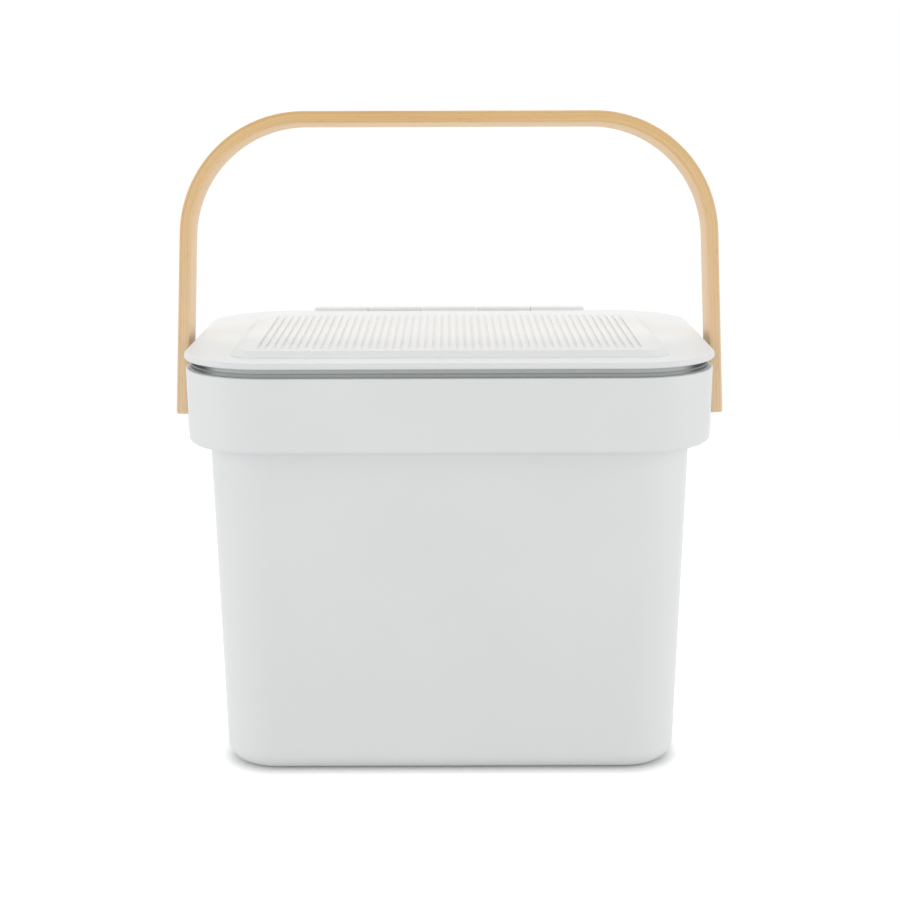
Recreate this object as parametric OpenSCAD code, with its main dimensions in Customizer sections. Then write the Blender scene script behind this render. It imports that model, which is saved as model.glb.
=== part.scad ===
// Countertop compost caddy: a tapered bin with a stepped band, a lift-out inner bucket,
// a vented lid on a rear hinge and a bentwood carry handle on two shoulder screws.
// Millimetres. Origin at the centre of the base, +Z up, +Y to the hinge side.

/* [Bin] */
// Width over the rim
bin_w = 255; // [220:1:320]
// Depth over the rim
bin_d = 179.6; // [150:0.2:230]
// Height to the top of the rim
bin_h = 200; // [150:1:260]
// Plan radius of the rim's corners
rim_corner_r = 41; // [36:0.5:55]
// Wall thickness of the bin
wall = 2.5; // [1.8:0.1:3.5]
// Thickness of the rim bead
rim_t = 4.2; // [3.6:0.1:5.5]
// Height of the rim bead
rim_bead_h = 4; // [2:0.5:8]
// Height of the wide band under the rim
band_h = 36; // [28:1:60]
// How far the band's face leans in from the rim to its lower edge
band_draft = 0.5; // [0:0.1:1.5]
// How far the band stands out from the lower body
band_step = 10.2; // [8:0.2:13]
// How far the lower body draws in, from the band to the base
body_draft = 4.3; // [1:0.1:8]
// Radius of the rounded edge round the base
base_edge_r = 9; // [8:0.5:20]
// Radius of the band's lower edge
band_edge_r = 2; // [0.5:0.1:2.4]
// Width of the moulded groove round the underside
foot_groove_w = 3; // [1.5:0.1:5]
// Depth of the moulded groove round the underside
foot_groove_depth = 0.8; // [0.3:0.1:1.2]
// Width of the flat foot outside the groove
foot_w = 2; // [1:0.1:4]

/* [Inner bucket] */
// Gap between the bucket and the lower body
bucket_gap = 0.8; // [0.5:0.1:1.5]
// Wall thickness of the bucket
bucket_wall = 1.8; // [1.2:0.1:2.4]
// Thickness of the flange that hangs on the rim
flange_t = 2; // [1.2:0.1:3]
// How far the flange's edge sits back from the rim's edge
flange_setback = 2.4; // [1.6:0.1:2.8]
// Height of the bucket's floor above the bin's floor
bucket_lift = 2.5; // [1:0.5:20]

/* [Lid] */
// Height of the dark gap between the rim and the lid
lid_gap = 4.5; // [4.1:0.1:6]
// How far the lid's edge stands out past the rim
lid_overhang = 0.6; // [0:0.1:0.9]
// Height of the lid's edge
lid_edge_h = 3; // [2.6:0.1:5]
// Thickness of the lid's deck
deck_t = 2.2; // [1.6:0.1:2.5]
// Radius of the lid's top outer edge
lid_edge_r = 1.2; // [0.4:0.1:1.5]
// Depth of the collar that centres the lid in the bucket's mouth
collar_h = 8; // [5:0.5:14]
// Thickness of the collar
collar_t = 1.6; // [1.2:0.1:2]
// Side gap between the collar and the bucket
collar_gap = 0.7; // [0.6:0.1:1.5]
// Width of the lid seal
seal_w = 4.2; // [3.6:0.1:5]
// How far the seal sits in from the flange's edge
seal_setback = 0.8; // [0.5:0.1:1.5]
// Thickness of the rib that holds the seal
seal_rib_t = 1.2; // [0.8:0.1:1.6]

/* [Vent cover] */
// Width of the raised cover at its foot
cover_w = 209; // [170:1:215]
// Depth of the raised cover at its foot
cover_d = 142; // [110:1:144]
// How far the cover sits forward of the middle of the lid
cover_forward = 5; // [3:0.5:6]
// Plan radius of the cover's corners at its foot
cover_corner_r = 12; // [10.5:0.5:20]
// Height of the cover above the lid
cover_rise = 3; // [2.5:0.1:5]
// Run of the bevel round the cover
cover_bevel = 3.5; // [2:0.1:4]
// Thickness of the slotted face
cover_t = 2; // [1.5:0.1:2.4]
// Thickness of the lip that clips into the lid
cover_lip_t = 1.6; // [1.2:0.1:2]
// Depth of the lip below the lid's top
cover_lip_h = 3.4; // [2:0.1:5]
// Side gap of the lip in the lid's opening
cover_fit = 0.2; // [0.1:0.05:0.4]
// How far the cover's edge reaches over the lid round the opening
cover_ledge = 6.7; // [5:0.1:7]
// Spacing of the vent slots
slot_pitch = 3.8; // [3.2:0.1:6]
// Width of one vent slot
slot_w = 1.5; // [1:0.1:2.2]
// Number of vent slots
slot_count = 49; // [31:2:49]
// Length of the vent slots
slot_len = 112; // [60:1:114]
// How far the middle of the slots sits forward of the cover's middle
slot_forward = 5; // [0:0.5:6]
// Number of cross bars under the slots
bar_count = 4; // [2:1:6]
// Width of one cross bar
bar_w = 2.4; // [1.6:0.1:4]
// Depth of the cross bars, which hold the charcoal pad down
bar_h = 2.1; // [1:0.1:2.5]

/* [Filter] */
// Thickness of the charcoal pad
pad_t = 6; // [4:0.5:7]
// Side gap round the charcoal pad
pad_gap = 0.5; // [0.3:0.1:1.5]
// Wall and floor thickness of the filter well
well_t = 1.7; // [1.2:0.1:2.2]
// Number of air slots across the well's floor
well_slots = 12; // [6:1:14]
// Number of rows of air slots
well_rows = 3; // [2:1:4]
// Width of one air slot
well_slot_w = 5; // [3:0.5:7]

/* [Hinge] */
// Length over the hinge knuckles
hinge_len = 152; // [120:1:160]
// Radius of the knuckles
knuckle_r = 4; // [3.4:0.1:4.3]
// Radius of the hinge pin
pin_r = 1.5; // [1:0.1:2]
// Height of the hinge axis above the lid's lower edge
axis_rise = 1; // [0.6:0.1:1.5]
// How far the hinge axis sits behind the rim's rear face
axis_back = 2.2; // [2:0.1:3.5]
// Length of each of the bin's two knuckles
bin_knuckle_len = 30; // [16:1:32]
// Distance from the middle to each of the bin's knuckles
bin_knuckle_x = 30.5; // [24:0.5:36]
// End gap between neighbouring knuckles
knuckle_end_gap = 0.4; // [0.3:0.1:0.8]
// Gap between a knuckle and the moulding that turns round it
knuckle_gap = 0.6; // [0.4:0.1:0.9]
// Depth of the bracket that carries the bin's knuckles
bracket_h = 15; // [10:1:24]
// Angle at which the lid's stop meets the rim
stop_angle = 103; // [95:1:110]
// Width of each lid stop
stop_w = 6; // [3:0.5:10]

/* [Handle] */
// Width of the bentwood strap
strap_w = 23.4; // [16:0.2:30]
// Thickness of the strap
strap_t = 5.8; // [4:0.1:7]
// Reach from the pivot to the top of the handle
handle_reach = 139.5; // [125:0.5:170]
// Outer radius of the two bends
bend_r = 63; // [45:1:70]
// Inward tilt of each leg, from the pivot to its bend
leg_tilt = 1.8; // [0:0.1:2.2]
// Length of strap below the pivot
strap_tail = 13; // [9:0.5:18]
// Plan radius of the strap's ends
strap_end_r = 2.5; // [1:0.1:5]
// Backward lean of the handle where it stands
handle_lean = 8; // [0:0.5:12]
// Depth of the pivots below the rim
pivot_drop = 20; // [16:0.5:24]
// Gap between the band and the inner face of the strap
strap_gap = 5.8; // [4:0.1:8]

/* [Pivot hardware] */
// Radius of the screw's shoulder
shoulder_r = 3; // [2:0.1:3.5]
// Radius of the screw's thread
thread_r = 2.5; // [1.5:0.1:2.9]
// Radius of the screw's head
head_r = 4.2; // [3.8:0.1:5]
// Thickness of the screw's head
head_t = 2.2; // [1.5:0.1:2.6]
// How far the head stands out from the strap
head_proud = 0.6; // [0.2:0.1:1.2]
// Depth of the hexagon socket in the head
socket_depth = 1.2; // [0.6:0.1:1.4]
// Radial running clearance of the pivots and the hinge
run_fit = 0.05; // [0.02:0.01:0.08]
// Wall of the bush in the strap
bush_t = 0.9; // [0.5:0.1:1.2]
// Radius of the bush's flange
bush_flange_r = 6.5; // [5.4:0.1:8]
// Thickness of the bush's flange
bush_flange_t = 0.8; // [0.5:0.1:1.2]
// How far the flange is let into the strap
bush_sink = 0.3; // [0.25:0.05:0.5]
// Radius of the spacer
spacer_r = 7.5; // [5.5:0.1:8.5]
// Radius of the bosses on the band
boss_r = 8.5; // [7:0.1:11]
// How far the boss stands out from the band
boss_out = 2.2; // [1:0.1:3]
// How far the boss stands in from the band's inner face
boss_in = 2; // [1:0.1:3]
// Radius of the flat washer
washer_r = 6; // [5:0.1:7]
// Thickness of the flat washer
washer_t = 1.2; // [0.6:0.1:1.6]
// Width across the corners of the lock nut
nut_corners = 9.2; // [7.5:0.1:11]
// Thickness of the lock nut
nut_t = 4; // [2.5:0.1:4.5]
// Length of thread past the nut
thread_past = 0.6; // [0:0.1:1]

/* [Hidden] */

$fn = 64;
eps = 0.01;
// Fine gap round pieces that are pressed together, and the gap round a let-in head or flange
seat = 0.02;
side_fit = 0.3;
// Cut that runs past a face
past = 1;

// Every ring of the bin, bucket and lid is drawn round this rectangle of corner centres
cx = bin_w / 2 - rim_corner_r;
cy = bin_d / 2 - rim_corner_r;

// Radii out from the corner centres
waist_z = bin_h - band_h;
band_foot_r = rim_corner_r - band_draft;
waist_r = band_foot_r - band_step;
body_fillet = 1.5;
rim_round = 0.8;
function body_r(z) = waist_r - body_draft * (1 - z / waist_z);
function band_r(z) = band_foot_r + band_draft * (z - waist_z) / band_h;

flange_r = rim_corner_r - flange_setback;
flange_top = bin_h + flange_t;
bucket_r = waist_r - wall - bucket_gap;
bucket_floor = wall + bucket_lift;
function bucket_out(z) = bucket_r - body_draft * (1 - z / waist_z);

lid_r = rim_corner_r + lid_overhang;
lid_z = bin_h + lid_gap;
lid_top = lid_z + lid_edge_h;
deck_z = lid_top - deck_t;
mouth_r = bucket_out(bin_h) - bucket_wall;
collar_r = mouth_r - body_draft * collar_h / waist_z - collar_gap;
seal_r = flange_r - seal_setback;

// The cover is drawn round its own rectangle of corner centres
kx = cover_w / 2 - cover_corner_r;
ky = cover_d / 2 - cover_corner_r;
cover_top = lid_top + cover_rise;
cover_face_r = cover_corner_r - cover_bevel;
opening_r = cover_corner_r - cover_ledge;
lip_r = opening_r - cover_fit;
pad_r = lip_r - cover_lip_t - pad_gap;
bar_z = cover_top - cover_t;
pad_top = bar_z - bar_h;
well_z = pad_top - pad_t - well_t;

axis_y = bin_d / 2 + axis_back;
axis_z = lid_z + axis_rise;
knuckle_cut_r = knuckle_r + knuckle_gap;
mid_knuckle = 2 * bin_knuckle_x - bin_knuckle_len - 2 * knuckle_end_gap;
end_knuckle_x0 = bin_knuckle_x + bin_knuckle_len / 2 + knuckle_end_gap;
knuckle_chamfer = 1.2;

pivot_z = bin_h - pivot_drop;
band_face = cx + band_r(pivot_z);
boss_face = band_face + boss_out;
boss_inner = band_face - wall - boss_in;
strap_in = band_face + strap_gap;
strap_out = strap_in + strap_t;
bush_r = shoulder_r + run_fit + bush_t;
head_x = strap_out + head_proud - head_t;
flange_seat_x = strap_in + bush_sink;
spacer_face = flange_seat_x - bush_flange_t;
nut_x = boss_inner - washer_t;
screw_tip = nut_x - nut_t - thread_past;
bore_r = shoulder_r + run_fit;
// Facets in each bend of the strap
bend_steps = 28;

// Points of an arc about [x, y] from angle a to angle b
function arc(x, y, r, a, b, n = 4) =
    [for (i = [0:n]) [x + r * cos(a + (b - a) * i / n), y + r * sin(a + (b - a) * i / n)]];

// Sweeps a profile, drawn out from a corner centre, round a rectangle of corner centres
module around(x, y) {
    for (q = [[1, 1, 0], [-1, 1, 90], [-1, -1, 180], [1, -1, 270]])
        translate([q[0] * x, q[1] * y, 0]) rotate(q[2]) rotate_extrude(angle = 90) children();
    for (m = [0, 1]) {
        mirror([0, m, 0]) translate([0, y, 0]) rotate([90, 0, 90])
            linear_extrude(2 * x, center = true) children();
        mirror([m, 0, 0]) translate([x, 0, 0]) rotate([90, 0, 0])
            linear_extrude(2 * y, center = true) children();
    }
}

// Rounded rectangle whose edge is r out from the corner centres
module rounded(x, y, r) {
    square([2 * x, 2 * (y + r)], center = true);
    square([2 * (x + r), 2 * y], center = true);
    for (i = [-1, 1], j = [-1, 1]) translate([i * x, j * y]) circle(r);
}

// Solid plate, and a ring between two radii, about the same corner centres
module plate(x, y, r, z0, z1) {
    translate([0, 0, z0]) linear_extrude(z1 - z0) rounded(x, y, r);
}
module ring(x, y, r_in, r_out, z0, z1) {
    translate([0, 0, z0]) linear_extrude(z1 - z0) difference() {
        rounded(x, y, r_out);
        rounded(x, y, r_in);
    }
}

// Round bar along X from x0 to x1, on the axis through [y, z]
module xbar(x0, x1, r, y = 0, z = 0) {
    translate([x0, y, z]) rotate([0, 90, 0]) cylinder(h = x1 - x0, r = r);
}

// Profile drawn in Y and Z, extruded along X from x0 to x1
module xprofile(x0, x1) {
    translate([x0, 0, 0]) rotate([90, 0, 90]) linear_extrude(x1 - x0) children();
}

// ---------------------------------------------------------------- bin

// Wall of the bin: floor, rounded base edge, tapered side, stepped band and rim bead
module bin_profile() {
    base_x = body_r(base_edge_r) - base_edge_r;
    band_in = wall + body_fillet;
    bead_z = bin_h - rim_bead_h;
    polygon(concat(
        [[0, 0]],
        arc(base_x, base_edge_r, base_edge_r, -90, 0, 9),
        arc(waist_r + body_fillet, waist_z - body_fillet, body_fillet, 180, 90, 3),
        arc(band_foot_r - band_edge_r, waist_z + band_edge_r, band_edge_r, -90, 0),
        arc(rim_corner_r - rim_round, bin_h - rim_round, rim_round, 0, 90, 3),
        [[rim_corner_r - rim_t, bin_h], [rim_corner_r - rim_t, bead_z],
         [band_r(bead_z) - wall, bead_z - (rim_t - wall)]],
        arc(band_foot_r - band_in, waist_z + band_in, body_fillet, 0, -90, 3),
        [[waist_r - wall + body_fillet, waist_z + wall], [waist_r - wall, waist_z + wall - body_fillet]],
        arc(base_x, base_edge_r, base_edge_r - wall, 0, -90, 9),
        [[0, wall]]
    ));
}

module hinge_bracket() {
    rim_y = bin_d / 2;
    foot_z = bin_h - bracket_h;
    translate([axis_y, axis_z]) circle(knuckle_r);
    polygon([
        [rim_y - wall / 2, foot_z],
        [axis_y + knuckle_r, bin_h - 2],
        [axis_y + knuckle_r, axis_z],
        [axis_y - knuckle_r, axis_z],
        [axis_y - knuckle_r, bin_h - 2],
        [rim_y - wall, foot_z]
    ]);
}

module bin_body() color("#eceeed") difference() {
    union() {
        around(cx, cy) bin_profile();
        translate([0, 0, wall / 2]) cube([2 * cx, 2 * cy, wall], center = true);
        for (s = [-1, 1])
            xprofile(s * bin_knuckle_x - bin_knuckle_len / 2, s * bin_knuckle_x + bin_knuckle_len / 2)
                hinge_bracket();
        xbar(boss_inner, boss_face, boss_r, 0, pivot_z);
        xbar(-boss_face, -boss_inner, boss_r, 0, pivot_z);
    }
    for (s = [-1, 1]) translate([s * band_face, 0, pivot_z]) rotate([0, 90, 0])
        cylinder(h = 2 * (boss_in + wall + boss_out + past), r = bore_r, center = true);
    xbar(-hinge_len / 2, hinge_len / 2, pin_r + seat, axis_y, axis_z);
    foot_r = body_r(base_edge_r) - base_edge_r;
    ring(cx, cy, foot_r - foot_groove_w - foot_w, foot_r - foot_w, -past, foot_groove_depth);
}

// ---------------------------------------------------------------- inner bucket

module bucket_profile() {
    edge = base_edge_r - wall - bucket_gap;
    foot_x = bucket_out(bucket_floor + edge) - edge;
    foot_z = bucket_floor + edge;
    polygon(concat(
        [[0, bucket_floor]],
        arc(foot_x, foot_z, edge, -90, 0, 8),
        [[bucket_out(bin_h), bin_h], [flange_r - 0.4, bin_h], [flange_r, bin_h + 0.4],
         [flange_r, flange_top - 0.4], [flange_r - 0.4, flange_top]],
        arc(mouth_r + 1, flange_top - 1, 1, 90, 180, 3),
        [[bucket_out(foot_z) - bucket_wall, foot_z]],
        arc(foot_x, foot_z, edge - bucket_wall, 0, -90, 8),
        [[0, bucket_floor + bucket_wall]]
    ));
}

module inner_bucket() color("#8f9394") union() {
    around(cx, cy) bucket_profile();
    translate([0, 0, bucket_floor + bucket_wall / 2])
        cube([2 * cx, 2 * cy, bucket_wall], center = true);
}

// ---------------------------------------------------------------- lid

// Edge and deck of the lid, out from the corner centres
module lid_profile() {
    edge_in = lid_r - deck_t;
    polygon(concat(
        [[0, deck_z], [edge_in, deck_z], [edge_in, lid_z + 0.3], [edge_in + 0.3, lid_z],
         [lid_r - 0.5, lid_z], [lid_r, lid_z + 0.5]],
        arc(lid_r - lid_edge_r, lid_top - lid_edge_r, lid_edge_r, 0, 90),
        [[0, lid_top]]
    ));
}

module well_slot_pattern() {
    span_x = 2 * kx;
    span_y = 2 * ky;
    len_y = span_y / well_rows - well_slot_w * 1.4;
    for (i = [0:well_slots - 1], j = [0:well_rows - 1])
        translate([span_x * ((i + 0.5) / well_slots - 0.5), span_y * ((j + 0.5) / well_rows - 0.5)]) {
            square([well_slot_w, len_y - well_slot_w], center = true);
            for (s = [-1, 1]) translate([0, s * (len_y - well_slot_w) / 2]) circle(well_slot_w / 2);
        }
}

// One of the lid's knuckles, joined to the inside of the lid's edge
module lid_knuckle(x0, x1) {
    edge_y = cy + lid_r - deck_t;
    xprofile(x0, x1) {
        translate([axis_y, axis_z]) circle(knuckle_r);
        translate([edge_y, lid_z]) square([axis_y - edge_y, lid_edge_h]);
    }
}

// Outer knuckle, with its bevelled end and the stop that meets the rim when the lid is open
module end_knuckle() {
    end_x = hinge_len / 2;
    lid_knuckle(end_knuckle_x0, end_x - knuckle_chamfer);
    translate([end_x - knuckle_chamfer, axis_y, axis_z]) rotate([0, 90, 0])
        cylinder(h = knuckle_chamfer, r1 = knuckle_r, r2 = knuckle_r - knuckle_chamfer);
    rim_drop = axis_z - bin_h;
    rim_angle = atan2(rim_drop, axis_back) + 180;
    stop_reach = sqrt(rim_drop * rim_drop + axis_back * axis_back) + 0.3;
    translate([end_x - 2 * stop_w, axis_y, axis_z]) rotate([90, 0, 90]) linear_extrude(stop_w)
        rotate(rim_angle + stop_angle - 360) square([stop_reach, 1.8]);
}

module lid() color("#f0f1f0") difference() {
    union() {
        difference() {
            union() {
                around(cx, cy) lid_profile();
                plate(cx, cy, eps, deck_z, lid_top);
                translate([0, -cover_forward, 0])
                    plate(kx, ky, opening_r + well_t, well_z, lid_top);
            }
            translate([0, -cover_forward, 0]) {
                plate(kx, ky, opening_r, well_z + well_t, lid_top + past);
                translate([0, 0, well_z - past]) linear_extrude(well_t + 2 * past) well_slot_pattern();
            }
        }
        ring(cx, cy, collar_r - collar_t, collar_r, deck_z - collar_h, deck_z + eps);
        ring(cx, cy, seal_r - seal_w - seal_rib_t - 0.1, seal_r - seal_w - 0.1,
             flange_top + 1, deck_z + eps);
        lid_knuckle(-mid_knuckle / 2, mid_knuckle / 2);
        end_knuckle();
        mirror([1, 0, 0]) end_knuckle();
    }
    for (s = [-1, 1])
        xbar(s * bin_knuckle_x - bin_knuckle_len / 2 - knuckle_end_gap,
             s * bin_knuckle_x + bin_knuckle_len / 2 + knuckle_end_gap, knuckle_cut_r, axis_y, axis_z);
    xbar(-hinge_len / 2 - past, hinge_len / 2 + past, pin_r + run_fit, axis_y, axis_z);
}

module lid_seal() color("#a7abab") difference() {
    ring(cx, cy, seal_r - seal_w, seal_r, flange_top, deck_z);
    ring(cx, cy, seal_r - seal_w + 1.4, seal_r - 1.4, flange_top - past, flange_top + 0.8);
}

module hinge_pin() color("silver")
    xbar(-hinge_len / 2 + knuckle_chamfer, hinge_len / 2 - knuckle_chamfer, pin_r, axis_y, axis_z);

// ---------------------------------------------------------------- vent cover and filter

// Bevelled edge of the cover, its face and the lip that clips into the lid's opening
module cover_profile() {
    polygon(concat(
        [[0, bar_z], [lip_r - cover_lip_t, bar_z], [lip_r - cover_lip_t, lid_top - cover_lip_h],
         [lip_r - 0.3, lid_top - cover_lip_h], [lip_r, lid_top - cover_lip_h + 0.5], [lip_r, lid_top],
         [cover_corner_r, lid_top], [cover_corner_r, lid_top + 0.4]],
        arc(cover_face_r - 0.8, cover_top - 1, 1, 40, 90, 3),
        [[0, cover_top]]
    ));
}

module vent_slot_pattern() {
    straight = slot_len - slot_w;
    for (i = [0:slot_count - 1])
        translate([(i - (slot_count - 1) / 2) * slot_pitch, -slot_forward]) {
            square([slot_w, straight], center = true);
            for (s = [-1, 1]) translate([0, s * straight / 2]) circle(slot_w / 2, $fn = 24);
        }
}

module vent_cover() color("#eef0ee") translate([0, -cover_forward, 0]) {
    difference() {
        union() {
            around(kx, ky) cover_profile();
            plate(kx, ky, eps, bar_z, cover_top);
        }
        translate([0, 0, bar_z - past]) linear_extrude(cover_t + 2 * past) vent_slot_pattern();
    }
    for (i = [0:bar_count - 1])
        translate([0, -slot_forward + slot_len * ((i + 0.5) / bar_count - 0.5), bar_z - bar_h / 2 + eps / 2])
            cube([2 * (kx + lip_r - cover_lip_t + eps), bar_w, bar_h + eps], center = true);
}

module filter_pad() color("#2f3232") translate([0, -cover_forward, 0])
    plate(kx, ky, pad_r, well_z + well_t, pad_top);

// ---------------------------------------------------------------- handle

// Side view of the bent strap: two tilted legs, two bends and the bar, with the pivots on [0, 0]'s level
module strap_outline() {
    tilt = leg_tilt;
    r_in = bend_r - strap_t;
    bend_h = handle_reach - bend_r;
    leg_len = (bend_h + bend_r * sin(tilt)) / cos(tilt);
    bend_x = strap_out - leg_len * sin(tilt) - bend_r * cos(tilt);
    foot_out = strap_out + strap_tail * tan(tilt);
    foot_in = foot_out - strap_t / cos(tilt);
    polygon(concat(
        [[foot_out, -strap_tail]],
        arc(bend_x, bend_h, bend_r, tilt, 90, bend_steps),
        arc(-bend_x, bend_h, bend_r, 90, 180 - tilt, bend_steps),
        [[-foot_out, -strap_tail], [-foot_in, -strap_tail]],
        arc(-bend_x, bend_h, r_in, 180 - tilt, 90, bend_steps),
        arc(bend_x, bend_h, r_in, 90, tilt, bend_steps),
        [[foot_in, -strap_tail]]
    ));
}

// Corners that are cut from the strap's ends, drawn in Y and Z
module strap_end_corner() {
    h = strap_w / 2;
    r = strap_end_r;
    foot = -strap_tail;
    polygon(concat([[h - r, foot - past], [h + past, foot - past], [h + past, foot + r]],
                   arc(h - r, foot + r, r, 0, -90)));
}

module handle() color("#dcb782") translate([0, 0, pivot_z]) rotate([-handle_lean, 0, 0]) {
    outside = strap_out + strap_t;
    difference() {
        rotate([90, 0, 0]) linear_extrude(strap_w, center = true) strap_outline();
        for (m = [0, 1]) mirror([0, m, 0]) xprofile(-outside, outside) strap_end_corner();
        // through hole, seat of the bush's flange on the inside and of the screw's head outside
        xbar(-outside, outside, bush_r + seat);
        for (m = [0, 1]) mirror([m, 0, 0]) {
            xbar(strap_in - past, flange_seat_x, bush_flange_r + side_fit);
            xbar(head_x - seat, outside, head_r + side_fit);
        }
    }
}

// ---------------------------------------------------------------- pivots, drawn for the right side

module bush() color("#c9a24b") translate([0, 0, pivot_z]) difference() {
    union() {
        xbar(spacer_face, flange_seat_x, bush_flange_r);
        xbar(flange_seat_x - eps, head_x - seat, bush_r);
    }
    xbar(spacer_face - past, strap_out, bore_r);
}

module spacer() color("#d8dad8") translate([0, 0, pivot_z]) difference() {
    xbar(boss_face, spacer_face, spacer_r);
    xbar(boss_face - past, spacer_face + past, bore_r + 0.2);
}

module pivot_screw() color("silver") translate([0, 0, pivot_z]) difference() {
    union() {
        xbar(head_x, strap_out + head_proud - 0.4, head_r);
        translate([strap_out + head_proud - 0.4, 0, 0]) rotate([0, 90, 0])
            cylinder(h = 0.4, r1 = head_r, r2 = head_r - 0.4);
        xbar(boss_inner, head_x + eps, shoulder_r);
        xbar(screw_tip, boss_inner + eps, thread_r);
    }
    translate([strap_out + head_proud - socket_depth, 0, 0]) rotate([0, 90, 0])
        cylinder(h = socket_depth + past, r = head_r / 2, $fn = 6);
}

module nut_washer() color("silver") translate([0, 0, pivot_z]) difference() {
    xbar(nut_x, boss_inner, washer_r);
    xbar(nut_x - past, boss_inner + past, thread_r + seat);
}

module lock_nut() color("silver") translate([0, 0, pivot_z]) difference() {
    translate([nut_x - nut_t, 0, 0]) rotate([0, 90, 0]) cylinder(h = nut_t, d = nut_corners, $fn = 6);
    xbar(nut_x - nut_t - past, nut_x + past, thread_r + seat);
}

module left() {
    mirror([1, 0, 0]) children();
}

bin_body();
inner_bucket();
lid();
lid_seal();
vent_cover();
filter_pad();
hinge_pin();
handle();
left() bush();  // handle_bush_left
bush();  // handle_bush_right
left() spacer();  // spacer_left
spacer();  // spacer_right
left() pivot_screw();  // pivot_screw_left
pivot_screw();  // pivot_screw_right
left() nut_washer();  // nut_washer_left
nut_washer();  // nut_washer_right
left() lock_nut();  // lock_nut_left
lock_nut();  // lock_nut_right
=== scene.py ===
"""Looks, light and camera of the compost caddy, with its bentwood strap, charcoal pad and gauze."""

import logging
import math
from dataclasses import dataclass, field
from enum import Enum
from typing import Callable, Iterable, Sequence, Union

import bmesh
import bpy
from mathutils import Matrix, Vector


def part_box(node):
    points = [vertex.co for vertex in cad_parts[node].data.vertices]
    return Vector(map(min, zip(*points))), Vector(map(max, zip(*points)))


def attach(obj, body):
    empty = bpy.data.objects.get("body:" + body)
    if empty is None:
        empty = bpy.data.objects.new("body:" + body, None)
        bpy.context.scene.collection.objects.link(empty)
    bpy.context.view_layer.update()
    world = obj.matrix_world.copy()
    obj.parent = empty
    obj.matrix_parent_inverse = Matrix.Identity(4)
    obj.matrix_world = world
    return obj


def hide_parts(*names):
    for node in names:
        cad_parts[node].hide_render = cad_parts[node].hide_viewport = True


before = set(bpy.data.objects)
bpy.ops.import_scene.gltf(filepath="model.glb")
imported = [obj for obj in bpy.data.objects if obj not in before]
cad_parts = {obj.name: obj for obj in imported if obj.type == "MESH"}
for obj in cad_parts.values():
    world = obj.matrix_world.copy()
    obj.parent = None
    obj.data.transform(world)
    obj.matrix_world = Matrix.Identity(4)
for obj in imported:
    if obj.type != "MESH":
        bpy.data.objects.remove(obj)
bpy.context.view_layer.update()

MM = 0.001
CREASE = 35.0  # degrees; edges sharper than this stay sharp, unless a piece says otherwise
PAINTED_SHADE_RUNS = ((108 * MM, 117 * MM), (42 * MM, 52 * MM))  # where the painted shade on the corner walls runs, in X and Y
UPRIGHT = (0.3, 0.7)  # slant of a face's normal, from an upright wall to a level face, for the mask of the painted corner shade

log = logging.getLogger("caddy")

Colour = tuple[float, float, float, float]
Value = Union["Signal", float, int, Sequence[float]]


def tone(code: str) -> Colour:
    """Turns a screen colour into the linear colour that a shader takes.

    Args:
        code: Six hexadecimal digits after a hash.

    Returns:
        Red, green, blue and a solid alpha.
    """
    parts = [int(code[i:i + 2], 16) / 255 for i in (1, 3, 5)]
    linear = [c / 12.92 if c <= 0.04045 else ((c + 0.055) / 1.055) ** 2.4 for c in parts]
    return (*linear, 1.0)


# ---------------------------------------------------------------- shader maths


class Signal:
    """A shader socket whose Python operators add Math nodes."""

    def __init__(self, graph: "Graph", socket: bpy.types.NodeSocket | None) -> None:
        """Keeps a socket and its graph.

        Args:
            graph: The graph that further nodes go into.
            socket: The output that the signal stands for.
        """
        self.graph = graph
        self.socket = socket

    def math(self, operation: str, *values: Value) -> "Signal":
        """Adds one Math node.

        Args:
            operation: The node's operation.
            values: Its inputs in order.

        Returns:
            The node's result.
        """
        return self.graph.add("ShaderNodeMath", {"operation": operation}, dict(enumerate(values)))

    def __add__(self, other: Value) -> "Signal":
        """Sum."""
        return self.math("ADD", self, other)

    def __radd__(self, other: Value) -> "Signal":
        """Sum, reflected."""
        return self.math("ADD", other, self)

    def __sub__(self, other: Value) -> "Signal":
        """Difference."""
        return self.math("SUBTRACT", self, other)

    def __rsub__(self, other: Value) -> "Signal":
        """Difference, reflected."""
        return self.math("SUBTRACT", other, self)

    def __mul__(self, other: Value) -> "Signal":
        """Product."""
        return self.math("MULTIPLY", self, other)

    def __rmul__(self, other: Value) -> "Signal":
        """Product, reflected."""
        return self.math("MULTIPLY", other, self)

    def __truediv__(self, other: Value) -> "Signal":
        """Quotient."""
        return self.math("DIVIDE", self, other)

    def __rtruediv__(self, other: Value) -> "Signal":
        """Quotient, reflected."""
        return self.math("DIVIDE", other, self)

    def __abs__(self) -> "Signal":
        """Absolute value."""
        return self.math("ABSOLUTE", self)

    def floor(self) -> "Signal":
        """Whole part."""
        return self.math("FLOOR", self)

    def ramp(self, low: float, high: float) -> "Signal":
        """Smooth step from 0 at low to 1 at high.

        Args:
            low: The value that gives 0.
            high: The value that gives 1.

        Returns:
            The stepped value.
        """
        return self.graph.add("ShaderNodeMapRange", {"interpolation_type": "SMOOTHSTEP"},
                              {"Value": self, "From Min": low, "From Max": high})


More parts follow.
